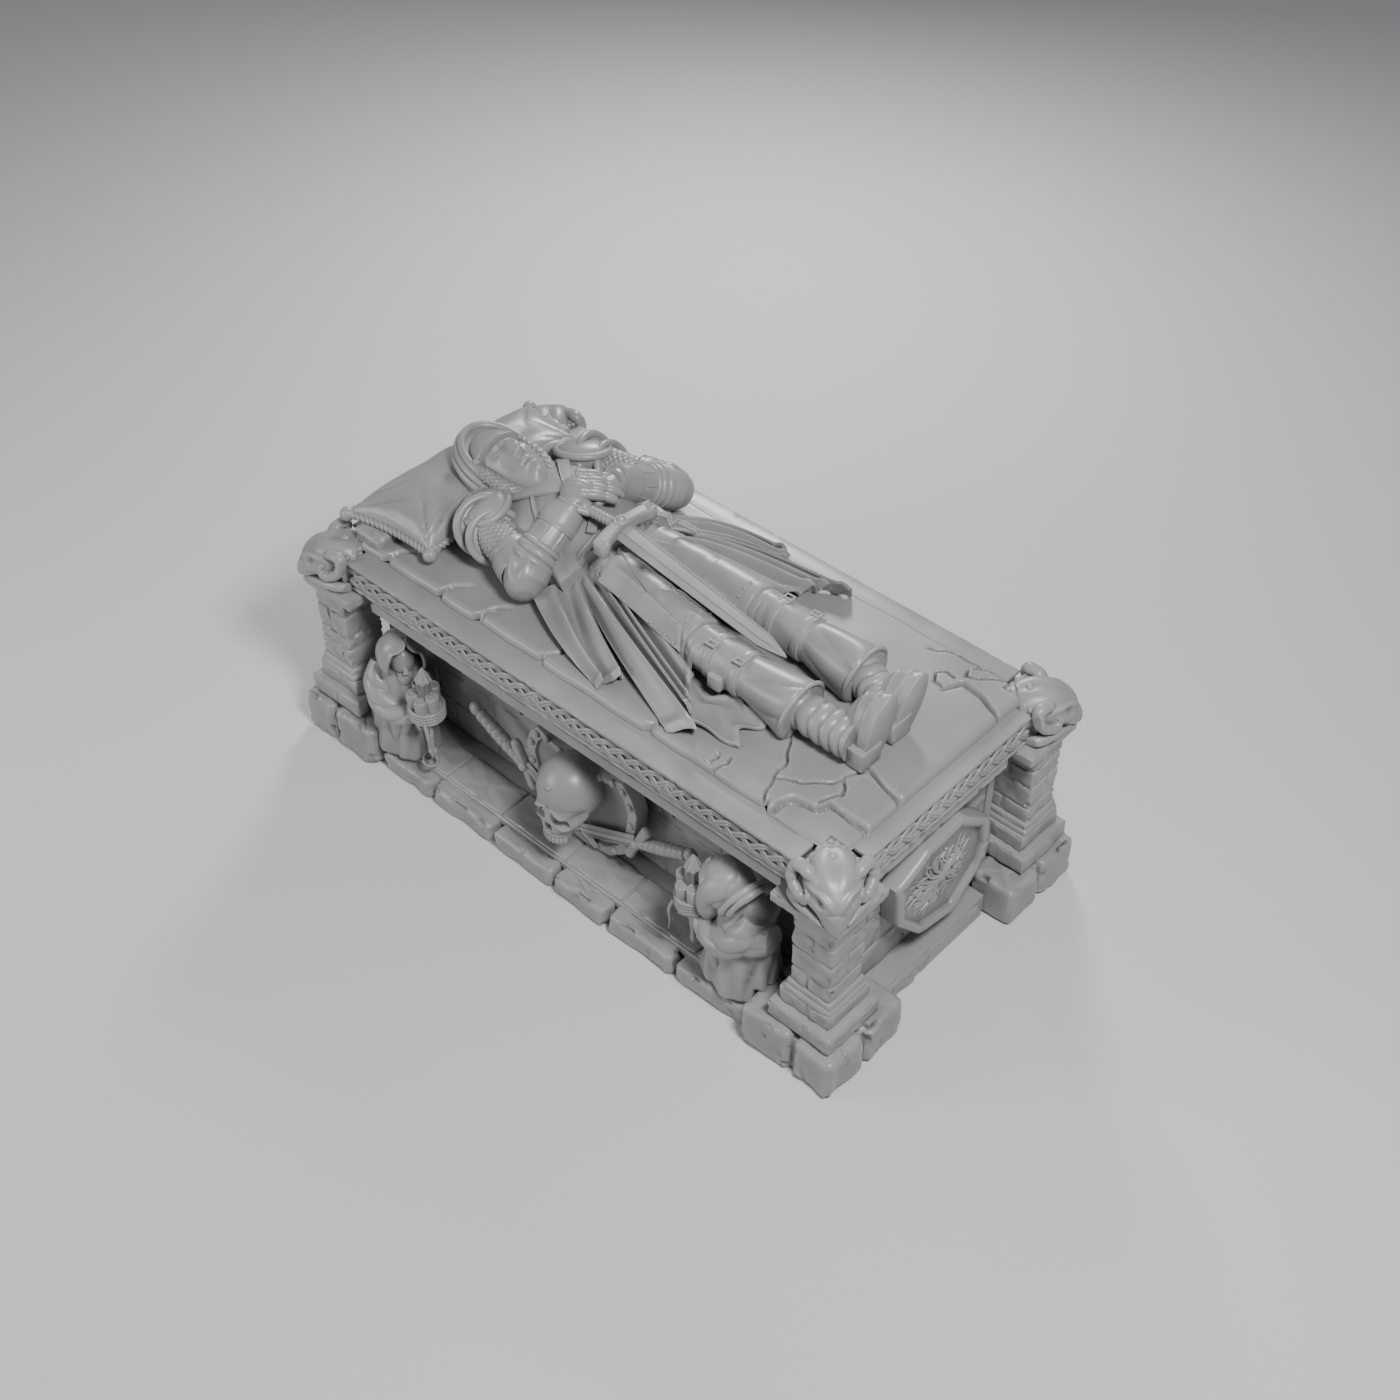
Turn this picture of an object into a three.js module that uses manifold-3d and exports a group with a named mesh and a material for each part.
// Effigy tomb: a stone tomb chest with a recumbent knight on its lid.
// Millimetres, +Z up. The head is at -X, the near long side is -Y, and the tomb stands on Z = 0.

import * as THREE from 'three';
import { mergeVertices } from 'three/addons/utils/BufferGeometryUtils.js';
import Module from 'manifold-3d';

const wasm = await Module();
wasm.setup();

// Driving sizes
const LENGTH = 2400;          // over the pier bases, along the tomb
const WIDTH = 1255;           // over the pier bases, across the tomb
const JOINT = 0.3;            // clearance between pieces that touch

const BASE_SIDE = 357;        // rough corner block under a pier
const BASE_HEIGHT = 170;
const STEP_SIDE = 245;        // first stepped course of the pier
const STEP_TOP = 240;
const STEP_INSET = 28;        // its outer face, in from the base block
const UPPER_SIDE = 197;       // second stepped course
const UPPER_TOP = 300;
const UPPER_INSET = 54;
const SHAFT_SIDE = 155;
const SHAFT_INSET = 70;
const SHAFT_SPLAY_TOP = 345;  // top of the splay between course and shaft
const SHAFT_COURSES = 4;
const CAP_SIDE = 243;
const CAP_BOTTOM = 637;
const CAP_TOP = 687;
const CAP_INSET = 47.5;

const PLINTH_HEIGHT = 84;     // top of the rough facing stones
const PAVER_HEIGHT = 100;     // pavers that the niche figures stand on
const PLINTH_INSET = 24;      // facing stones, in from the long side of the bases
const PLINTH_END_INSET = 88;
const STONE_JOINT = 7;

const WALL = 40;              // thickness of the chest walls
const SIDE_WALL_INSET = 273.5;   // niche wall of a long side, in from the bases
const END_WALL_INSET = 168;
const WALL_COURSES = 4;

const LID_INSET = 98.5;       // lid edge, in from the bases all round
const LID_BOTTOM = 618;
const LID_TOP = 806;
const NOTCH_INSET = 225;      // inner corner of the notch for the beast's block

const PAVING_END_INSET = 155; // paving edge, in from the bases
const PAVING_SIDE_INSET = 177.5;
const PAVING_THICKNESS = 28;
const CRACK_WIDTH = 12;
const CRACK_DEPTH = 9;
const KERB_JOINTS = [ - 560, - 240, 310, 760 ];

const HORN = 15;              // radius of the beast's horn at its root
const SKULL_RADIUS = 112;
const SHIELD_DEPTH = 64;      // end shield, from its wall
const BLADE_WIDTH = 84;
const BLADE_LENGTH = 670;

// Sizes that follow
const HALF_LENGTH = LENGTH / 2;
const HALF_WIDTH = WIDTH / 2;
const PAVER_TOP = PAVER_HEIGHT + JOINT;
const WALL_TOP = LID_BOTTOM - JOINT;
const SIDE_WALL_FACE = HALF_WIDTH - SIDE_WALL_INSET;
const END_WALL_FACE = HALF_LENGTH - END_WALL_INSET;
const LID_X = HALF_LENGTH - LID_INSET;
const LID_Y = HALF_WIDTH - LID_INSET;
const NOTCH_X = HALF_LENGTH - NOTCH_INSET;
const NOTCH_Y = HALF_WIDTH - NOTCH_INSET;
const BED = LID_TOP + JOINT + PAVING_THICKNESS;
const REST = BED + JOINT;     // level where the effigy starts

const V = ( x, y, z ) => new THREE.Vector3( x, y, z );

// A repeatable scatter value between -1 and 1.
function scatter( k ) {

	const s = Math.sin( k * 12.9898 + 4.1 ) * 43758.5453;
	return 2 * ( s - Math.floor( s ) ) - 1;

}

// A closed body through rings of points. Rings have one count; a ring of one point is a tip.
function loft( rings ) {

	const n = Math.max( ...rings.map( ( ring ) => ring.length ) );
	const points = [];
	const index = [];
	const starts = rings.map( ( ring ) => {

		points.push( ...ring );
		return points.length - ring.length;

	} );
	const fan = ( start, tip, flip ) => {

		for ( let j = 0; j < n; j ++ ) {

			const a = start + j;
			const b = start + ( j + 1 ) % n;
			index.push( tip, flip ? a : b, flip ? b : a );

		}

	};
	for ( let i = 0; i < rings.length - 1; i ++ ) {

		const [ a, b ] = [ starts[ i ], starts[ i + 1 ] ];
		if ( rings[ i ].length === 1 ) fan( b, a, false );
		else if ( rings[ i + 1 ].length === 1 ) fan( a, b, true );
		else for ( let j = 0; j < n; j ++ ) {

			const k = ( j + 1 ) % n;
			index.push( a + j, a + k, b + k, a + j, b + k, b + j );

		}

	}
	for ( const [ at, flip ] of [ [ 0, false ], [ rings.length - 1, true ] ] ) {

		if ( rings[ at ].length === 1 ) continue;
		const middle = rings[ at ].reduce( ( sum, p ) => sum.add( p ), V( 0, 0, 0 ) ).divideScalar( n );
		points.push( middle );
		fan( starts[ at ], points.length - 1, flip );

	}
	const geometry = new THREE.BufferGeometry().setFromPoints( points );
	geometry.setIndex( index );
	return facedOut( geometry );

}

// Turns the faces outward where the body came out inside out.
function facedOut( geometry ) {

	const p = geometry.attributes.position;
	const index = geometry.index.array;
	const [ a, b, c ] = [ V(), V(), V() ];
	let volume = 0;
	for ( let i = 0; i < index.length; i += 3 ) {

		a.fromBufferAttribute( p, index[ i ] );
		b.fromBufferAttribute( p, index[ i + 1 ] );
		c.fromBufferAttribute( p, index[ i + 2 ] );
		volume += a.dot( b.cross( c ) );

	}
	if ( volume < 0 ) for ( let i = 0; i < index.length; i += 3 ) {

		[ index[ i ], index[ i + 1 ] ] = [ index[ i + 1 ], index[ i ] ];

	}
	return geometry;

}

// A closed body for joining and cutting, and back to a plain surface.
function solid( geometry ) {

	const bare = geometry.clone();
	bare.deleteAttribute( 'normal' );
	bare.deleteAttribute( 'uv' );
	const merged = mergeVertices( bare, 1e-3 );
	return new wasm.Manifold( new wasm.Mesh( {
		numProp: 3,
		vertProperties: new Float32Array( merged.attributes.position.array ),
		triVerts: new Uint32Array( merged.index.array )
	} ) );

}

function surface( body ) {

	const mesh = body.getMesh();
	const geometry = new THREE.BufferGeometry();
	geometry.setAttribute( 'position', new THREE.Float32BufferAttribute( mesh.vertProperties, 3 ) );
	geometry.setIndex( new THREE.Uint32BufferAttribute( mesh.triVerts, 1 ) );
	return geometry;

}

const fuse = ( parts ) => parts.map( solid ).reduce( ( sum, part ) => sum.add( part ) );
const carve = ( body, cuts ) => cuts.reduce( ( left, cut ) => left.subtract( solid( cut ) ), body );

// The same carving in another quarter of the tomb: sx and sy are 1 or -1.
function mirrored( geometry, sx, sy ) {

	const copy = geometry.clone().scale( sx, sy, 1 );
	return facedOut( copy );

}

// Carving drawn for one size and set to another: point `from` goes to `to`, and lengths are times `size`.
function placed( geometry, from, to, size ) {

	return geometry.clone().translate( - from.x, - from.y, - from.z ).scale( size, size, size )
		.translate( to.x, to.y, to.z );

}

function box( x0, x1, y0, y1, z0, z1 ) {

	const geometry = new THREE.BoxGeometry( x1 - x0, y1 - y0, z1 - z0 );
	return geometry.translate( ( x0 + x1 ) / 2, ( y0 + y1 ) / 2, ( z0 + z1 ) / 2 );

}

const rectangle = ( x0, x1, y0, y1, z ) => [ V( x0, y0, z ), V( x1, y0, z ), V( x1, y1, z ), V( x0, y1, z ) ];

// A rectangular block whose sides follow a profile of [ inset, height ] steps.
function profiled( x0, x1, y0, y1, profile ) {

	return loft( profile.map( ( [ e, z ] ) => rectangle( x0 + e, x1 - e, y0 + e, y1 - e, z ) ) );

}

// A dressed stone with a chamfered top edge.
function stone( x0, x1, y0, y1, z0, z1, chamfer ) {

	return profiled( x0, x1, y0, y1, [ [ 0, z0 ], [ 0, z1 - chamfer ], [ chamfer, z1 ] ] );

}

// Heights and insets of coursed work: a V joint sunk between two courses.
function coursed( z0, z1, courses, depth, key ) {

	const profile = [ [ 0, z0 ] ];
	for ( let i = 1; i < courses; i ++ ) {

		const z = z0 + ( z1 - z0 ) * ( i + 0.18 * scatter( key + i ) ) / courses;
		profile.push( [ 0, z - STONE_JOINT ], [ depth, z ], [ 0, z + STONE_JOINT ] );

	}
	profile.push( [ 0, z1 ] );
	return profile;

}

// A round body along a path. Each radius is [ across, upright ]; ends are capped, or tipped by `tip`.
function tube( path, radii, sides, tip = [ 0, 0 ], up = V( 0, 0, 1 ) ) {

	const rings = path.map( ( point, i ) => {

		const before = path[ Math.max( i - 1, 0 ) ];
		const after = path[ Math.min( i + 1, path.length - 1 ) ];
		const along = after.clone().sub( before ).normalize();
		const across = new THREE.Vector3().crossVectors( along, up ).normalize();
		const upright = new THREE.Vector3().crossVectors( across, along );
		const [ a, b ] = [ radii[ i ] ].flat().length === 1 ? [ radii[ i ], radii[ i ] ] : radii[ i ];
		return Array.from( { length: sides }, ( _, j ) => {

			const t = 2 * Math.PI * ( j + 0.5 ) / sides;
			return point.clone().addScaledVector( across, a * Math.cos( t ) )
				.addScaledVector( upright, b * Math.sin( t ) );

		} );

	} );
	const last = path.length - 1;
	if ( tip[ 0 ] ) rings.unshift( [ path[ 0 ].clone().addScaledVector(
		path[ 0 ].clone().sub( path[ 1 ] ).normalize(), tip[ 0 ] ) ] );
	if ( tip[ 1 ] ) rings.push( [ path[ last ].clone().addScaledVector(
		path[ last ].clone().sub( path[ last - 1 ] ).normalize(), tip[ 1 ] ) ] );
	return loft( rings );

}

// An egg shape with its poles up and down.
function ball( centre, r, sides = 8, bands = 4 ) {

	const rings = [ [ V( centre.x, centre.y, centre.z - r[ 2 ] ) ] ];
	for ( let i = 1; i < bands; i ++ ) {

		const t = Math.PI * ( i / bands - 0.5 );
		rings.push( Array.from( { length: sides }, ( _, j ) => {

			const u = 2 * Math.PI * ( j + 0.5 ) / sides;
			return V( centre.x + r[ 0 ] * Math.cos( t ) * Math.cos( u ),
				centre.y + r[ 1 ] * Math.cos( t ) * Math.sin( u ), centre.z + r[ 2 ] * Math.sin( t ) );

		} ) );

	}
	rings.push( [ V( centre.x, centre.y, centre.z + r[ 2 ] ) ] );
	return loft( rings );

}

// A body under a surface: point( u, v ) gives the surface for u and v from 0 to 1; it goes down to `floor`.
function mound( nu, nv, point, floor ) {

	const top = [];
	for ( let i = 0; i <= nv; i ++ ) for ( let j = 0; j <= nu; j ++ ) top.push( point( j / nu, i / nv ) );
	const at = ( i, j ) => i * ( nu + 1 ) + j;
	const index = [];
	for ( let i = 0; i < nv; i ++ ) for ( let j = 0; j < nu; j ++ ) {

		index.push( at( i, j ), at( i, j + 1 ), at( i + 1, j + 1 ) );
		index.push( at( i, j ), at( i + 1, j + 1 ), at( i + 1, j ) );

	}
	const rim = [];
	for ( let j = 0; j < nu; j ++ ) rim.push( at( 0, j ) );
	for ( let i = 0; i < nv; i ++ ) rim.push( at( i, nu ) );
	for ( let j = nu; j > 0; j -- ) rim.push( at( nv, j ) );
	for ( let i = nv; i > 0; i -- ) rim.push( at( i, 0 ) );
	const points = [ ...top, ...rim.map( ( k ) => V( top[ k ].x, top[ k ].y, floor ) ) ];
	const middle = rim.reduce( ( sum, k ) => sum.add( top[ k ] ), V( 0, 0, 0 ) ).divideScalar( rim.length );
	points.push( V( middle.x, middle.y, floor ) );
	rim.forEach( ( k, i ) => {

		const next = ( i + 1 ) % rim.length;
		const [ a, b ] = [ top.length + i, top.length + next ];
		index.push( k, b, rim[ next ], k, a, b, a, points.length - 1, b );

	} );
	const geometry = new THREE.BufferGeometry().setFromPoints( points );
	geometry.setIndex( index );
	return facedOut( geometry );

}

// A flat plate with the outline `points` of [ x, y ] pairs, `depth` thick along +Z.
function plate( points, depth ) {

	const shape = new THREE.Shape( points.map( ( [ x, y ] ) => new THREE.Vector2( x, y ) ) );
	return new THREE.ExtrudeGeometry( shape, { depth, bevelEnabled: false } );

}

// A groove of V section in a level surface, along a line of [ x, y ] points.
function groove( line, width, depth, level ) {

	const points = line.map( ( [ x, y ] ) => V( x, y, level ) );
	return loft( points.map( ( p, i ) => {

		const before = points[ Math.max( i - 1, 0 ) ];
		const after = points[ Math.min( i + 1, points.length - 1 ) ];
		const along = after.clone().sub( before ).normalize();
		const across = V( - along.y, along.x, 0 ).multiplyScalar( width / 2 * ( 1 + 1 / depth ) );
		return [ p.clone().add( across ).setZ( level + 1 ), p.clone().sub( across ).setZ( level + 1 ),
			p.clone().setZ( level - depth ) ];

	} ) );

}

const group = new THREE.Group();
group.name = 'effigy_tomb';

function add( name, body, shade = 0x8b8b8b ) {

	const material = new THREE.MeshStandardMaterial( { color: shade, roughness: 0.55, metalness: 0 } );
	material.name = 'carved_stone';
	const mesh = new THREE.Mesh( body.isBufferGeometry ? body : surface( body ), material );
	mesh.name = name;
	group.add( mesh );

}

const SIDES = [ [ 'near', - 1 ], [ 'far', 1 ] ];
const ENDS = [ [ 'head', - 1 ], [ 'foot', 1 ] ];
const CORNERS = SIDES.flatMap( ( [ side, sy ] ) =>
	ENDS.map( ( [ end, sx ] ) => [ `${ side }_${ end }`, sx, sy ] ) );

// Plinth: one ground course between the pier bases, low stones along the long sides and pavers behind.
const STONES_PER_SIDE = 6;
const STONES_PER_END = 3;
const COURSE_DEPTH = 58;      // long side course, from its face to the pavers
const JOINT_DEPTH = 9;

function plinth() {

	const endX = HALF_LENGTH - PLINTH_END_INSET;
	const sideY = HALF_WIDTH - PLINTH_INSET;
	const innerX = HALF_LENGTH - BASE_SIDE - JOINT;
	const innerY = HALF_WIDTH - BASE_SIDE - JOINT;
	const course = [ box( - endX, endX, - innerY, innerY, 0, PAVER_HEIGHT ),
		box( - innerX, innerX, - sideY, sideY, 0, PLINTH_HEIGHT ),
		box( - innerX, innerX, COURSE_DEPTH - sideY, sideY - COURSE_DEPTH, 0, PAVER_HEIGHT ) ];
	const slots = [];
	for ( const [ , s ] of SIDES ) {

		for ( let i = 1; i < STONES_PER_SIDE; i ++ ) {

			const x = 2 * innerX * ( ( i + 0.16 * scatter( i + 9 * s ) ) / STONES_PER_SIDE - 0.5 );
			slots.push( mirrored( box( x, x + STONE_JOINT, sideY - JOINT_DEPTH, WIDTH, - 1, LENGTH ), 1, s ) );

		}
		for ( let i = 1; i < STONES_PER_END; i ++ ) {

			const y = 2 * innerY * ( i / STONES_PER_END - 0.5 );
			slots.push( mirrored( box( endX - JOINT_DEPTH, LENGTH, y, y + STONE_JOINT, - 1, LENGTH ), s, 1 ) );

		}

	}
	return carve( fuse( course ), slots );

}

add( 'plinth', plinth() );

// Piers: a rough base of four stones bedded as one, stepped courses with a shaft, and a slab cap.
// Drawn in the +X +Y quarter.
function pierBase( key ) {

	const [ x1, y1 ] = [ HALF_LENGTH, HALF_WIDTH ];
	const [ x0, y0 ] = [ x1 - BASE_SIDE, y1 - BASE_SIDE ];
	const xm = x0 + BASE_SIDE * ( 0.5 + 0.08 * scatter( key ) );
	const ym = y0 + BASE_SIDE * ( 0.5 + 0.08 * scatter( key + 3 ) );
	const half = STONE_JOINT / 2;
	const block = stone( x0, x1, y0, y1, 0, BASE_HEIGHT, 18 );
	const core = box( x0 + JOINT_DEPTH, x1 - JOINT_DEPTH, y0 + JOINT_DEPTH, y1 - JOINT_DEPTH,
		- 1, BASE_HEIGHT - JOINT_DEPTH );
	const slots = [ box( xm - half, xm + half, y0 - 1, y1 + 1, - 1, BASE_HEIGHT + 1 ),
		box( x0 - 1, x1 + 1, ym - half, ym + half, - 1, BASE_HEIGHT + 1 ) ];
	return carve( solid( block ), [ surface( carve( fuse( slots ), [ core ] ) ) ] );

}

function pierShaft( key ) {

	const step = ( side, inset, profile ) => profiled( HALF_LENGTH - inset - side, HALF_LENGTH - inset,
		HALF_WIDTH - inset - side, HALF_WIDTH - inset, profile );
	const spread = SHAFT_INSET - UPPER_INSET;
	const shaft = coursed( SHAFT_SPLAY_TOP, CAP_BOTTOM - JOINT, SHAFT_COURSES, 6, key );
	return fuse( [
		step( STEP_SIDE, STEP_INSET, [ [ 0, BASE_HEIGHT + JOINT ], [ 0, STEP_TOP - 14 ], [ 12, STEP_TOP ] ] ),
		step( UPPER_SIDE, UPPER_INSET, [ [ 0, STEP_TOP - 20 ], [ 0, UPPER_TOP - 8 ], [ 7, UPPER_TOP ],
			[ spread, SHAFT_SPLAY_TOP ] ] ),
		step( SHAFT_SIDE, SHAFT_INSET, [ [ 0, UPPER_TOP - 20 ], ...shaft ] ) ] );

}

function pierCap() {

	const [ x1, y1 ] = [ HALF_LENGTH - CAP_INSET, HALF_WIDTH - CAP_INSET ];
	return profiled( x1 - CAP_SIDE, x1, y1 - CAP_SIDE, y1,
		[ [ 12, CAP_BOTTOM ], [ 0, CAP_BOTTOM + 14 ], [ 0, CAP_TOP - 5 ], [ 5, CAP_TOP ] ] );

}

// Beast head: a block behind, a horned head looking out along the diagonal, and a chin over the cap.
const BEAST_X = HALF_LENGTH - 145;   // where the head meets its block
const BEAST_Y = HALF_WIDTH - 145;

function beastHead() {

	const out = V( 1, 1, 0 ).normalize();
	const side = V( - 1, 1, 0 ).normalize();
	const low = CAP_TOP + JOINT;
	const at = ( run, across, rise ) => V( BEAST_X, BEAST_Y, low + rise ).addScaledVector( out, run )
		.addScaledVector( side, across );
	const section = ( run, jaw, wide, cheek, top ) => [ [ - jaw, 0 ], [ - wide, cheek ], [ - wide / 2, top ],
		[ wide / 2, top ], [ wide, cheek ], [ jaw, 0 ] ].map( ( [ across, rise ] ) => at( run, across, rise ) );
	const skull = loft( [ section( - 84, 104, 64, 89, 147 ), section( 12, 84, 66, 81, 143 ),
		section( 82, 46, 54, 51, 89 ), [ at( 146, 0, 0 ) ] ] );
	const horns = [ - 1, 1 ].map( ( s ) => tube( [ at( 30, s * 58, 109 ),
		at( - 18, s * 96, 135 ), at( - 14, s * 114, 95 ) ], [ HORN, HORN, HORN * 0.8 ], 3 ) );
	const body = fuse( [ skull, ...horns, beastBlock( low ) ] );
	return carve( body, [ box( 0, LENGTH, 0, LENGTH, 0, low ),
		box( 0, NOTCH_X + JOINT, 0, LID_Y + JOINT, 0, LENGTH ),
		box( 0, LID_X + JOINT, 0, NOTCH_Y + JOINT, 0, LENGTH ) ] );

}

// The block behind the head fills the notch; it is cut off across the diagonal.
function beastBlock( low ) {

	const [ x, y ] = [ NOTCH_X + JOINT, NOTCH_Y + JOINT ];
	const [ long, short ] = [ 137, 34 ];
	const top = LID_TOP + 36;
	const outline = ( e ) => [ [ 0, 0 ], [ long - e, 0 ], [ long - e, short ], [ short, long - e ],
		[ 0, long - e ] ];
	return loft( [ [ 0, low ], [ 5, top ] ].map( ( [ e, z ] ) =>
		outline( e ).map( ( [ dx, dy ] ) => V( x + dx, y + dy, z ) ) ) );

}

const shapes = { cap: pierCap(), beast: surface( beastHead() ) };
CORNERS.forEach( ( [ corner, sx, sy ], i ) => {

	add( `pier_base_${ corner }`, mirrored( surface( pierBase( 5 * i + 1 ) ), sx, sy ) );
	add( `pier_shaft_${ corner }`, mirrored( surface( pierShaft( 7 * i + 2 ) ), sx, sy ) );
	add( `pier_cap_${ corner }`, mirrored( shapes.cap, sx, sy ) );
	add( `beast_head_${ corner }`, mirrored( shapes.beast, sx, sy ) );

} );

// Niche walls, coursed like the piers. A side wall carries two fan corbels under the fascia.
const CORBEL_X = 340;
const CORBEL_DROP = 205;

// Room for the four rough base blocks, which stand partly under the walls.
function baseRoom() {

	const [ x0, y0 ] = [ HALF_LENGTH - BASE_SIDE - JOINT, HALF_WIDTH - BASE_SIDE - JOINT ];
	const room = box( x0, LENGTH, y0, WIDTH, 0, BASE_HEIGHT + JOINT );
	return CORNERS.map( ( [ , sx, sy ] ) => mirrored( room, sx, sy ) );

}

function sideWall() {

	const wall = profiled( - END_WALL_FACE, END_WALL_FACE, SIDE_WALL_FACE - WALL, SIDE_WALL_FACE,
		coursed( PAVER_TOP, WALL_TOP, WALL_COURSES, 6, 61 ) );
	const corbel = ( x ) => loft( [ [ 0, 92, 128 ], [ 0.4, 52, 84 ], [ 1, 10, 24 ] ].map(
		( [ drop, wide, deep ] ) => Array.from( { length: 7 }, ( _, j ) => {

			const t = Math.PI * j / 6;
			const lobe = j % 2 ? 0.82 : 1;
			return V( x + wide * lobe * Math.cos( t ), SIDE_WALL_FACE - 4 + deep * lobe * Math.sin( t ),
				WALL_TOP - CORBEL_DROP * drop );

		} ) ) );
	const heads = [ - 1, 1 ].map( ( s ) => mirrored( box( HALF_LENGTH - CAP_INSET - CAP_SIDE, END_WALL_FACE,
		HALF_WIDTH - CAP_INSET - CAP_SIDE, SIDE_WALL_FACE, WALL_TOP - 20, CAP_BOTTOM - JOINT ), s, 1 ) );
	return carve( fuse( [ wall, ...heads, corbel( - CORBEL_X ), corbel( CORBEL_X ) ] ), baseRoom() );

}

const sideWallShape = surface( sideWall() );
const endWallY = SIDE_WALL_FACE - WALL - JOINT;
const endWall = profiled( END_WALL_FACE - WALL, END_WALL_FACE, - endWallY, endWallY,
	coursed( PAVER_TOP, WALL_TOP, WALL_COURSES, 6, 67 ) );
const endWallShape = surface( carve( solid( endWall ), baseRoom() ) );
for ( const [ side, sy ] of SIDES ) add( `side_wall_${ side }`, mirrored( sideWallShape, 1, sy ) );
for ( const [ end, sx ] of ENDS ) add( `end_wall_${ end }`, mirrored( endWallShape, sx, 1 ) );

// Lid: fascia, sunk groove, and an edge roll over the plaited frieze. Its corners are cut for the piers.
const rise = ( share ) => LID_BOTTOM + share * ( LID_TOP - LID_BOTTOM );
const FRIEZE_BOTTOM = rise( 0.452 );
const FRIEZE_TOP = rise( 0.915 );
const FRIEZE_INSET = 8;
const PLAIT_PITCH = 148;
const LID_PROFILE = [ [ 34, LID_BOTTOM ], [ 24, rise( 0.032 ) ], [ 24, rise( 0.223 ) ], [ 36, rise( 0.245 ) ],
	[ 38, rise( 0.351 ) ], [ 8, rise( 0.404 ) ], [ 4, rise( 0.441 ) ], [ FRIEZE_INSET, FRIEZE_BOTTOM ],
	[ FRIEZE_INSET, FRIEZE_TOP ], [ 1, rise( 0.931 ) ], [ 0, rise( 0.973 ) ], [ 5, LID_TOP ] ];

// The sunk lozenges that stay between the crossing strands of the plait.
function lozenges( half, at ) {

	const cuts = [];
	const middle = ( FRIEZE_BOTTOM + FRIEZE_TOP ) / 2;
	const tall = 0.39 * ( FRIEZE_TOP - FRIEZE_BOTTOM );
	const count = Math.floor( 2 * half / PLAIT_PITCH );
	for ( let i = 0; i < count; i ++ ) {

		const run = ( i - ( count - 1 ) / 2 ) * PLAIT_PITCH;
		const [ before, after ] = [ run - PLAIT_PITCH * 0.4, run + PLAIT_PITCH * 0.4 ];
		cuts.push( loft( [ [ at( before, middle, 1 ), at( run, middle - tall, 1 ), at( after, middle, 1 ),
			at( run, middle + tall, 1 ) ], [ at( run, middle, - 14 ) ] ] ) );

	}
	return cuts;

}

function lid() {

	const slab = solid( profiled( - LID_X, LID_X, - LID_Y, LID_Y, LID_PROFILE ) );
	const cuts = [];
	const capX = HALF_LENGTH - CAP_INSET - CAP_SIDE - JOINT;
	const capY = HALF_WIDTH - CAP_INSET - CAP_SIDE - JOINT;
	for ( const [ , sx, sy ] of CORNERS ) {

		cuts.push( mirrored( box( capX, LENGTH, capY, LENGTH, 0, CAP_TOP + JOINT ), sx, sy ) );
		cuts.push( mirrored( box( NOTCH_X, LENGTH, NOTCH_Y, LENGTH, 0, LENGTH ), sx, sy ) );

	}
	for ( const [ , s ] of SIDES ) {

		cuts.push( ...lozenges( NOTCH_X, ( run, z, out ) => V( run, s * ( LID_Y - FRIEZE_INSET + out ), z ) ) );
		cuts.push( ...lozenges( NOTCH_Y, ( run, z, out ) => V( s * ( LID_X - FRIEZE_INSET + out ), run, z ) ) );

	}
	return carve( slab, cuts );

}

add( 'lid', lid() );

// Paving on the lid: one raised slab with rounded edges, kerb joints, cracks and a broken corner.
function paving() {

	const [ hx, hy ] = [ HALF_LENGTH - PAVING_END_INSET, HALF_WIDTH - PAVING_SIDE_INSET ];
	const low = LID_TOP + JOINT;
	const slab = profiled( - hx, hx, - hy, hy, [ [ 6, low ], [ 0, low + 9 ], [ 3, BED - 8 ], [ 13, BED ] ] );
	const kerb = KERB_JOINTS.map( ( x ) => [ [ x, - hy - 5 ], [ x + 45, - hy + 95 ] ] );

	// Cracks at the foot end, as distances from the foot edge and from the near or far edge.
	const near = ( points ) => points.map( ( [ dx, dy ] ) => [ hx - dx, dy - hy ] );
	const far = ( points ) => points.map( ( [ dx, dy ] ) => [ hx - dx, hy - dy ] );
	const cracks = [ near( [ [ 285, 0 ], [ 322, 104 ], [ 398, 260 ] ] ),
		near( [ [ 322, 104 ], [ 174, 224 ], [ 185, 70 ] ] ),
		near( [ [ 174, 224 ], [ 149, 318 ], [ 22, 273 ] ] ), far( [ [ 195, 167 ], [ 115, 120 ], [ 12, 192 ] ] ) ];
	const cuts = [ ...kerb, ...cracks ].map( ( line ) => groove( line, CRACK_WIDTH, CRACK_DEPTH, BED ) );
	for ( const [ , sx, sy ] of CORNERS ) cuts.push( mirrored(
		box( NOTCH_X - JOINT, LENGTH, NOTCH_Y - JOINT, LENGTH, 0, LENGTH ), sx, sy ) );
	cuts.push( brokenCorner( hx, hy ) );
	return carve( fuse( [ slab, ...headBlocks( 0 ) ] ), cuts );

}

// Two square blocks of the paving under the outer corners of the pillow, with room of `grow` about them.
function headBlocks( grow ) {

	const x = HALF_LENGTH - PAVING_END_INSET - 25;
	const y = HALF_WIDTH - PAVING_SIDE_INSET - 10;
	return SIDES.map( ( [ , s ] ) => mirrored( stone( - x - grow, 125 - x + grow, y - 88 - grow, y + grow,
		LID_TOP + 5, BED + 36 + grow, 9 ), 1, s ) );

}

// The near foot corner has sunk: its stones lie lower than the slab.
function brokenCorner( hx, hy ) {

	return loft( [ BED - 9, BED + 60 ].map( ( z ) => [ V( hx - 275, - hy - 30, z ), V( hx + 20, - hy - 30, z ),
		V( hx + 20, 98 - hy, z ), V( hx - 140, 98 - hy, z ) ] ) );

}

add( 'paving', paving() );

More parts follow.
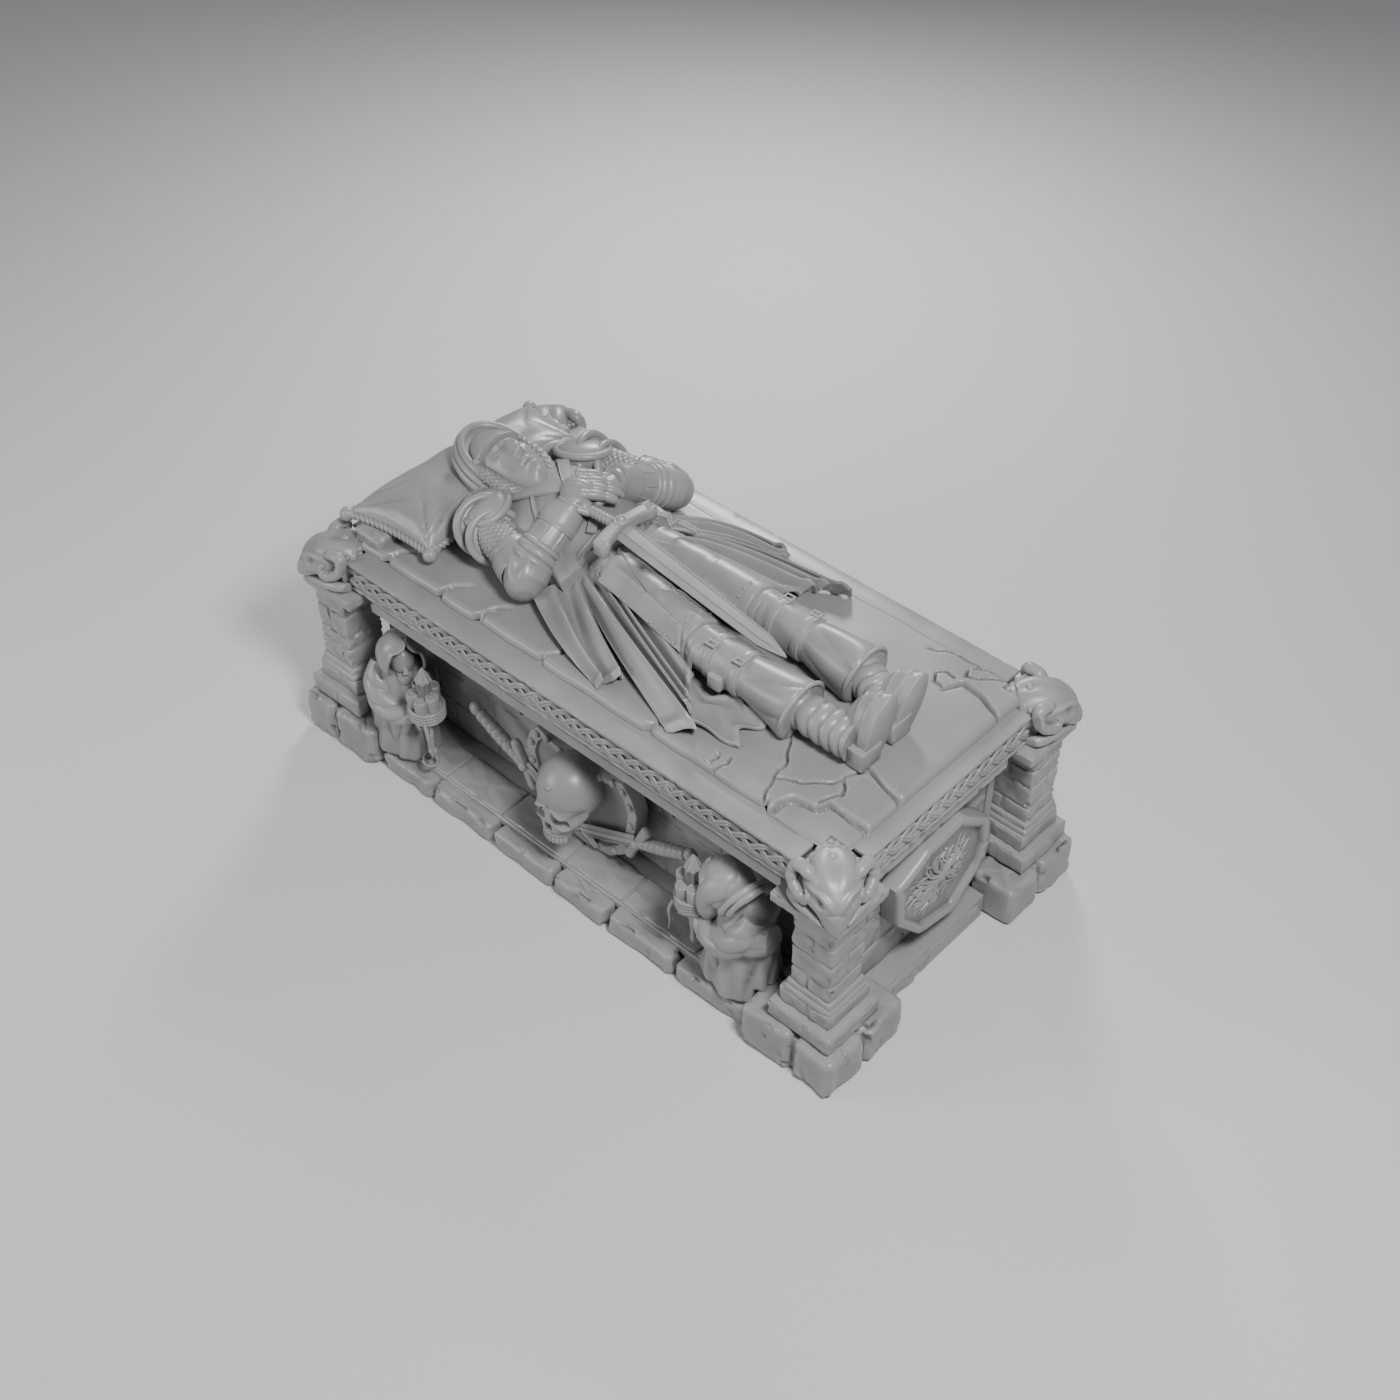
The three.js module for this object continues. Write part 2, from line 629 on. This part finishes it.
// Effigy: the knight lies face up on a pillow, hands crossed over the belly above the sword.
// Its points are given for this bed level and these half sizes of the paving.
const DRAWN_BED = 834.6;
const DRAWN_HALF_LENGTH = 1045;
const DRAWN_HALF_WIDTH = 450;

function pillow() {

	const [ cx, half, mid ] = [ - 895, 173, 880 ];
	const rings = [];
	for ( let i = 0; i <= 4; i ++ ) {

		const k = i / 2 - 1;
		const wide = half * ( 0.93 + 0.07 * k ** 2 );
		const full = Math.sqrt( 1.02 - Math.abs( k ) ** 3 );
		rings.push( Array.from( { length: 8 }, ( _, j ) => {

			const t = 2 * Math.PI * j / 8;
			const tall = full * ( Math.sin( t ) > 0 ? 102 : 46 );
			const pinch = Math.sign( Math.sin( t ) ) * Math.abs( Math.sin( t ) ) ** 0.8;
			return V( cx + wide * Math.cos( t ), k * ( 385 - 19 * Math.cos( t ) ), mid + tall * pinch );

		} ) );

	}
	const knobs = [ [ - 1076, 412 ], [ - 714, 372 ] ].flatMap( ( [ x, y ] ) => [ - 1, 1 ].map( ( s ) =>
		ball( V( x, s * y, 875 ), [ 29, 29, 28 ], 4, 3 ) ) );
	return [ loft( rings ), ...knobs ];

}

function head() {

	// The hood's edge is rolled twice about the face; each row is [ height, share of the widest ring ].
	const rolls = [ [ 862, 0.5 ], [ 905, 0.94 ], [ 1006, 1.05 ], [ 1030, 0.95 ], [ 1044, 1.04 ], [ 1056, 0.86 ],
		[ 1076, 0.88 ], [ 1050, 0.66 ] ];
	const hood = loft( rolls.map( ( [ z, k ] ) => Array.from( { length: 8 }, ( _, j ) => {

		const t = 2 * Math.PI * ( j + 0.5 ) / 8;
		const tilt = 45 * Math.min( 1, ( z - 862 ) / 120 );
		return V( - 760 + 165 * k * Math.cos( t ), 150 * k * Math.sin( t ), z - tilt * k * Math.cos( t ) );

	} ) ) );
	const cap = ball( V( - 795, 0, 1032 ), [ 96, 100, 80 ], 6, 4 );
	const face = tube( [ V( - 780, 0, 1022 ), V( - 700, 0, 1036 ), V( - 620, 0, 1026 ),
		V( - 580, 0, 1012 ) ], [ [ 84, 68 ], [ 84, 70 ], [ 60, 60 ], [ 42, 56 ] ], 6, [ 0, 16 ] );
	const nose = tube( [ V( - 752, 0, 1092 ), V( - 664, 0, 1118 ), V( - 650, 0, 1090 ) ], [ 11, 17, 12 ], 4 );
	return [ hood, cap, face, nose ];

}

function torso() {

	const rows = [ [ - 640, 120, 92, 930 ], [ - 560, 200, 106, 938 ], [ - 420, 196, 110, 938 ],
		[ - 282, 165, 92, 918 ], [ - 281, 180, 104, 918 ], [ - 246, 180, 102, 916 ], [ - 245, 166, 90, 914 ],
		[ - 150, 176, 84, 906 ] ];
	const trunk = tube( rows.map( ( [ x, , , z ] ) => V( x, 26, z ) ),
		rows.map( ( [ , wide, tall ] ) => [ wide, tall ] ), 7 );
	const scarf = tube( [ V( - 600, - 150, 952 ), V( - 530, - 50, 1014 ), V( - 530, 96, 1014 ),
		V( - 600, 190, 952 ) ], [ 28, 34, 34, 28 ], 4 );
	return [ trunk, scarf ];

}

// One arm: layered shoulder plates, mail sleeve, elbow cop, forearm plate with cuff, and the gauntlet.
function arm( shoulder, elbow, wrist, knuckles ) {

	const bend = 0.82;
	const steps = [ [ - 0.14, 60 ], [ 0, 92 ], [ 0.18, 96 ], [ 0.19, 82 ], [ 0.38, 84 ], [ 0.39, 62 ],
		[ bend, 74 ], [ 1.1, 76 ], [ 1.36, 58 ], [ 1.78, 50 ], [ 1.79, 58 ], [ 1.94, 54 ] ];
	const path = steps.map( ( [ t ] ) => {

		return t < 1 ? shoulder.clone().lerp( elbow, t ) : elbow.clone().lerp( wrist, t - 1 );

	} );
	const sleeve = tube( path, steps.map( ( [ , r ] ) => [ r, r * 0.92 ] ), 6, [ 26, 0 ] );
	const run = knuckles.clone().sub( wrist ).normalize();
	const across = new THREE.Vector3().crossVectors( run, V( 0, 0, 1 ) ).normalize();
	const hand = loft( [ [ 0, 38, 26 ], [ 0.5, 50, 30 ], [ 1.2, 40, 14 ] ].map( ( [ t, wide, tall ] ) =>
		Array.from( { length: 7 }, ( _, j ) => {

			const ridge = j % 2 ? 1 : 0.6;
			const p = wrist.clone().lerp( knuckles, t );
			if ( j > 4 ) return p.addScaledVector( across, wide * ( j > 5 ? - 1 : 1 ) ).add( V( 0, 0, - tall ) );
			return p.addScaledVector( across, wide * ( j / 2 - 1 ) ).add( V( 0, 0, tall * ridge ) );

		} ) ) );
	return [ sleeve, hand ];

}

function sword() {

	const slope = ( x ) => 1078 - ( x + 160 ) * 0.155;
	const blade = [ 0, 0.86, 1 ].map( ( t ) => {

		const x = - 160 + BLADE_LENGTH * t;
		const half = t === 1 ? 6 : BLADE_WIDTH / 2 * ( 1 - 0.28 * t );
		const y = - 42 - 14 * t;
		return [ V( x, y - half, slope( x ) ), V( x, y - half * 0.3, slope( x ) + 12 ),
			V( x, y + half * 0.3, slope( x ) + 12 ), V( x, y + half, slope( x ) ),
			V( x, y + half * 0.3, slope( x ) - 70 ), V( x, y - half * 0.3, slope( x ) - 70 ) ];

	} );
	const guardPath = [ - 1, 0, 1 ].map( ( t ) => V( - 168 - 14 * t + 10 * t * t, - 40 + 118 * t, 1088 ) );
	const guard = tube( guardPath, [ 18, 20, 18 ], 4, [ 20, 20 ] );
	const grip = tube( [ V( - 330, - 30, 1068 ), V( - 180, - 38, 1084 ) ], [ 18, 17 ], 5 );
	const pommel = ball( V( - 352, - 29, 1066 ), [ 30, 30, 26 ], 6, 3 );
	return [ loft( blade ), guard, grip, pommel ];

}

// The point at share u, from 0 to 1, of a line through `points`.
function along( points, u ) {

	const place = Math.min( u, 0.9999 ) * ( points.length - 1 );
	const i = Math.floor( place );
	return points[ i ].clone().lerp( points[ i + 1 ], place - i );

}

// Cloth that runs from the belt to its hem in tubular folds. `s` is -1 for the near side.
function skirt( s, waist, hem, folds, rows, key ) {

	return mound( 2 * folds, rows, ( u, v ) => {

		const crest = Math.round( 2 * folds * u ) % 2;
		const p = along( waist, u ).lerp( along( hem, u ), v );
		const bow = Math.sin( Math.PI * Math.min( v * 1.1, 1 ) );
		p.x += crest ? 16 * v : - 16 * v;
		p.y += s * ( 20 * bow + 6 * v * scatter( key + 9 * u ) );
		p.z += ( crest ? 22 : - 16 ) * Math.min( 1, 2.2 * v ) + 16 * bow;
		return p;

	}, DRAWN_BED - 30 );

}

function drapery() {

	const nearHem = [ V( 395, - 432, 858 ), V( 440, - 392, 858 ), V( 345, - 312, 874 ), V( 295, - 240, 888 ),
		V( 226, - 145, 918 ) ];
	const farHem = [ V( 405, 425, 858 ), V( 320, 385, 862 ), V( 275, 290, 876 ), V( 240, 160, 905 ) ];
	return [
		skirt( - 1, [ V( - 279, - 140, 905 ), V( - 190, - 20, 985 ) ], nearHem, 4, 2, 3 ),
		skirt( - 1, [ V( - 325, - 285, 884 ), V( - 270, - 130, 905 ) ],
			[ V( 95, - 436, 858 ), V( 140, - 340, 880 ) ], 2, 1, 17 ),
		skirt( 1, [ V( - 262, 205, 900 ), V( - 205, 20, 985 ) ], farHem, 3, 2, 29 ),
		skirt( 1, [ V( - 300, 300, 884 ), V( - 240, 180, 900 ) ],
			[ V( 70, 446, 858 ), V( 140, 390, 866 ) ], 2, 1, 41 ),
		mound( 3, 1, ( u, v ) => V( 260 + 235 * v + 20 * Math.sin( 9 * u ), - 370 + 35 * v + 170 * u,
			864 - 12 * v + ( Math.round( 3 * u ) % 2 ? 10 : - 4 ) ), DRAWN_BED - 30 )
	];

}

// One leg: banded thigh, knee, bell-shaped shin cover, wrapped ankle and boot with a block heel.
function leg( hip, knee, cuff, heel, toe ) {

	const down = ( t ) => t < 1 ? hip.clone().lerp( knee, t ) : knee.clone().lerp( cuff, t - 1 );
	const steps = [ [ 0, 84 ], [ 0.5, 82 ], [ 0.51, 74 ], [ 0.88, 70 ], [ 0.89, 76 ], [ 1.03, 70 ], [ 2, 101 ],
		[ 2.01, 60 ] ];
	const lean = toe.clone().sub( heel ).normalize();
	const ankle = cuff.clone().lerp( heel, 0.8 ).add( V( 0, 0, 40 ) );
	const limb = tube( [ ...steps.map( ( [ t ] ) => down( t ) ), ankle ],
		[ ...steps.map( ( [ , r ] ) => r ), 58 ], 6 );
	const sole = heel.clone().lerp( toe, 0.5 );
	const foot = tube( [ V( - 90, 0, - 8 ), V( - 40, 0, 0 ), V( 0, 0, 0 ) ].map( ( p ) => p.add( sole ) ),
		[ [ 48, 62 ], [ 52, 104 ], [ 50, 112 ] ], 6, [ 0, 0 ], lean );
	const block = tube( [ heel.clone().add( V( - 26, 0, 26 ) ), heel.clone().add( V( 14, 0, 26 ) ) ],
		[ [ 46, 34 ], [ 46, 34 ] ], 4, [ 0, 0 ], lean );
	return [ limb, foot, block ];

}

function effigy() {

	const bodies = [ ...pillow(), ...head(), ...torso(),
		...arm( V( - 655, - 196, 952 ), V( - 388, - 262, 926 ), V( - 384, - 70, 1052 ), V( - 388, 62, 1086 ) ),
		...arm( V( - 640, 268, 952 ), V( - 366, 352, 926 ), V( - 392, 160, 1040 ), V( - 372, 20, 1064 ) ),
		...sword(), ...drapery(),
		...leg( V( - 170, - 66, 912 ), V( 300, - 140, 922 ), V( 640, - 140, 905 ), V( 888, - 128, 850 ),
			V( 902, - 42, 1046 ) ),
		...leg( V( - 170, 110, 912 ), V( 330, 104, 922 ), V( 680, 104, 905 ), V( 880, 20, 850 ),
			V( 892, 108, 1000 ) ) ];
	const size = Math.min( ( HALF_LENGTH - PAVING_END_INSET ) / DRAWN_HALF_LENGTH,
		( HALF_WIDTH - PAVING_SIDE_INSET ) / DRAWN_HALF_WIDTH );
	const bed = box( - LENGTH, LENGTH, - LENGTH, LENGTH, 0, DRAWN_BED );
	const figure = surface( carve( fuse( bodies ), [ bed ] ) );
	return carve( solid( placed( figure, V( 0, 0, DRAWN_BED ), V( 0, 0, REST ), size ) ), headBlocks( JOINT ) );

}

add( 'effigy', effigy(), 0x929292 );

// Weeper: a hooded figure kneeling in the niche, with candles bound on a torch handle.
// Drawn in the +Y side of the tomb with the candles towards +X; `inset` is its distance from the end of
// the bases, and `bow` is how far the hood leans down.
const WEEPER_INSETS = { head: 380, foot: 440 };
const DRAWN_WALL_FACE = 354;  // wall, floor and height of the niche that its figures' points are given for
const DRAWN_FLOOR = 100.3;
const DRAWN_NICHE_HEIGHT = 517.4;

function weeper( inset, bow ) {

	const x = inset - HALF_LENGTH;
	const y = 480;
	const low = DRAWN_FLOOR;
	const oval = ( cx, cy, z, a, b, turn = 0 ) => Array.from( { length: 6 }, ( _, j ) => {

		const t = 2 * Math.PI * j / 6 + turn;
		const fold = j % 2 ? 0.96 : 1.08;
		return V( cx + a * fold * Math.cos( t ), cy + b * fold * Math.sin( t ), z );

	} );
	const robe = loft( [ oval( x + 20, y + 22, low - 10, 142, 96 ), oval( x + 12, y + 14, low + 70, 132, 92 ),
		oval( x + 8 + bow * 0.3, y - 4, low + 270, 108, 76 ),
		oval( x + 20 + bow * 0.6, y - 4, low + 340, 62, 56 ) ] );
	const hx = x + 34 + bow;
	const hz = 486 - 0.5 * bow;
	const hood = ball( V( hx, y + 8, hz ), [ 82, 76, 88 ], 6, 4 );
	const peak = tube( [ V( hx - 20, y + 20, hz + 40 ), V( hx + 34, y + 40, hz + 6 ),
		V( hx + 40, y + 48, hz - 66 ) ],
		[ [ 50, 30 ], [ 44, 22 ], [ 22, 12 ] ], 4 );
	const hands = V( x + 186, y + 44, 330 );
	const sleeve = tube( [ V( x - 40, y + 46, 410 ), V( x + 6, y + 84, 320 ), V( x + 92, y + 78, 296 ), hands ],
		[ 44, 52, 46, 26 ], 5 );
	const cuff = loft( [ oval( x + 70, y + 66, 296, 56, 34 ), oval( x + 48, y + 74, 140, 26, 18, 0.5 ) ] );
	const lobed = ( r, z, dip ) => Array.from( { length: 6 }, ( _, j ) => {

		const reach = j % 2 ? r * dip : r;
		const t = Math.PI * j / 3;
		return V( hands.x + reach * Math.cos( t ), hands.y + reach * Math.sin( t ), z );

	} );
	const torch = loft( [ lobed( 14, 150, 1 ), lobed( 30, 316, 1 ), lobed( 58, 322, 0.7 ),
		lobed( 62, 446, 0.6 ) ] );
	const flame = tube( [ V( hands.x, hands.y, 430 ), V( hands.x, hands.y, 500 ) ], [ 24, 24 ], 4, [ 0, 46 ],
		V( 0, 1, 0 ) );
	const body = fuse( [ robe, hood, peak, sleeve, cuff, torch, flame ] );
	return inNiche( body, x );

}

// A carving drawn for the niche at x, set against the wall and cut to fit.
function inNiche( body, x ) {

	const size = ( WALL_TOP - PAVER_TOP ) / DRAWN_NICHE_HEIGHT;
	return carve( solid( placed( surface( body ), V( x, DRAWN_WALL_FACE, DRAWN_FLOOR ),
		V( x, SIDE_WALL_FACE, PAVER_TOP ), size ) ), nicheBounds() );

}

// What a niche figure keeps clear of: wall, pavers, lid and the pier beside it.
function nicheBounds() {

	const pier = ( side, inset, z0, z1 ) => {

		const [ x0, y0 ] = [ HALF_LENGTH - inset - side - JOINT, HALF_WIDTH - inset - side - JOINT ];
		return [ box( x0, LENGTH, y0, LENGTH, z0, z1 ), box( - LENGTH, - x0, y0, LENGTH, z0, z1 ) ];

	};
	return [ box( - LENGTH, LENGTH, - LENGTH, SIDE_WALL_FACE + JOINT, - LENGTH, LENGTH ),
		box( - LENGTH, LENGTH, - LENGTH, LENGTH, - LENGTH, PAVER_TOP ),
		box( - LENGTH, LENGTH, - LENGTH, LENGTH, WALL_TOP, LENGTH ),
		...pier( BASE_SIDE, 0, 0, BASE_HEIGHT + JOINT ), ...pier( STEP_SIDE, STEP_INSET, 0, STEP_TOP + JOINT ),
		...pier( UPPER_SIDE, UPPER_INSET, 0, SHAFT_SPLAY_TOP ), ...pier( SHAFT_SIDE, SHAFT_INSET, 0, LENGTH ) ];

}

const weepers = {
	head: surface( weeper( WEEPER_INSETS.head, 0 ) ),
	foot: surface( weeper( WEEPER_INSETS.foot, 46 ) )
};
for ( const [ side, sy ] of SIDES ) for ( const [ end, sx ] of ENDS ) {

	add( `weeper_${ side }_${ end }`, mirrored( weepers[ end ], - sx, sy ) );

}

// Trophy: a bordered shield, two crossed swords and a skull, carved as one.
function trophy() {

	const outline = [ [ - 250, 395 ], [ - 190, 505 ], [ - 60, 470 ], [ 60, 470 ], [ 190, 505 ], [ 250, 395 ],
		[ 190, 180 ], [ 0, DRAWN_FLOOR - 20 ], [ - 190, 180 ] ];
	const upright = ( geometry, y ) => geometry.rotateX( Math.PI / 2 ).translate( 0, y, 0 );
	const board = upright( plate( outline, 50 ), 434 );
	const inner = outline.map( ( [ x, z ] ) => [ x * 0.8, 320 + ( z - 320 ) * 0.8 ] );
	const field = upright( plate( inner, 20 ), 444 );
	const reach = HALF_LENGTH - 720;   // the pommels keep clear of the niche figures
	const swords = [ - 1, 1 ].flatMap( ( s ) => {

		const end = ( t ) => V( s * ( reach - ( reach + 80 ) * t ), 438, 400 - 270 * t );
		const guard = V( s * 30, 4, 62 );
		return [ tube( [ end( 0.02 ), end( 0.4 ), end( 0.41 ), end( 0.97 ) ],
			[ [ 18, 18 ], [ 18, 18 ], [ 12, 26 ], [ 12, 24 ] ], 4 ),
			tube( [ end( 0.4 ).sub( guard ), end( 0.4 ).add( guard ) ], [ 16, 16 ], 4 ),
			ball( end( 0 ), [ 30, 28, 30 ], 4, 2 ) ];

	} );
	const skull = [ ball( V( 0, 476, 402 ), [ SKULL_RADIUS, SKULL_RADIUS, SKULL_RADIUS * 1.02 ], 7, 4 ),
		tube( [ V( 0, 490, 372 ), V( 0, 528, 306 ), V( 0, 540, 250 ), V( 0, 536, 218 ) ],
			[ [ 100, 80 ], [ 86, 62 ], [ 56, 46 ], [ 46, 36 ] ], 5, [ 0, 0 ], V( 0, 1, 0 ) ) ];
	const sockets = [ - 1, 1 ].map( ( s ) => ball( V( s * 42, 588, 322 ), [ 34, 42, 30 ], 4, 2 ) );
	const body = carve( fuse( skull ), sockets );
	return inNiche( carve( solid( board ), [ field ] ).add( fuse( swords ) ).add( body ), 0 );

}

const trophyShape = surface( trophy() );
for ( const [ side, sy ] of SIDES ) add( `trophy_${ side }`, mirrored( trophyShape, 1, sy ) );

// End shield: a thick rim round a sunk field, with rays about a boss.
function endShield() {

	const outline = [ [ - 200, 345 ], [ - 216, 512 ], [ - 72, 578 ], [ 98, 594 ], [ 244, 476 ], [ 264, 366 ],
		[ 248, 290 ], [ 108, 162 ], [ - 75, 200 ] ];
	const middle = 385;
	const centre = 20;
	const shrunk = ( k ) => outline.map( ( [ y, z ] ) =>
		[ centre + ( y - centre ) * k, middle + ( z - middle ) * k ] );
	const facing = ( points, x ) => points.map( ( [ y, z ] ) => V( x, y, z ) );
	const back = END_WALL_FACE + JOINT;
	const face = back + SHIELD_DEPTH;
	const board = loft( [ facing( outline, back ), facing( outline, face - 8 ),
		facing( shrunk( 0.97 ), face ) ] );
	const field = loft( [ facing( shrunk( 0.8 ), face - 22 ), facing( shrunk( 0.84 ), face + 5 ) ] );
	const count = 7;
	const rays = Array.from( { length: 2 * count }, ( _, i ) => {

		const t = Math.PI * i / count;
		const r = i % 2 ? 0.32 : 1;
		return [ 150 * r * Math.sin( t ) + centre, 124 * r * Math.cos( t ) + middle ];

	} );
	const star = loft( [ facing( rays, face - 30 ), facing( rays, face - 22 ),
		[ V( face - 6, centre, middle ) ] ] );
	const boss = tube( [ V( face - 30, centre, middle ), V( face - 8, centre, middle ) ],
		[ 34, 28 ], 6, [ 0, 10 ] );
	return carve( solid( board ), [ field ] ).add( fuse( [ star, boss ] ) );

}

const shieldShape = surface( endShield() );
for ( const [ end, sx ] of ENDS ) add( `end_shield_${ end }`, mirrored( shieldShape, sx, 1 ) );

export default group;
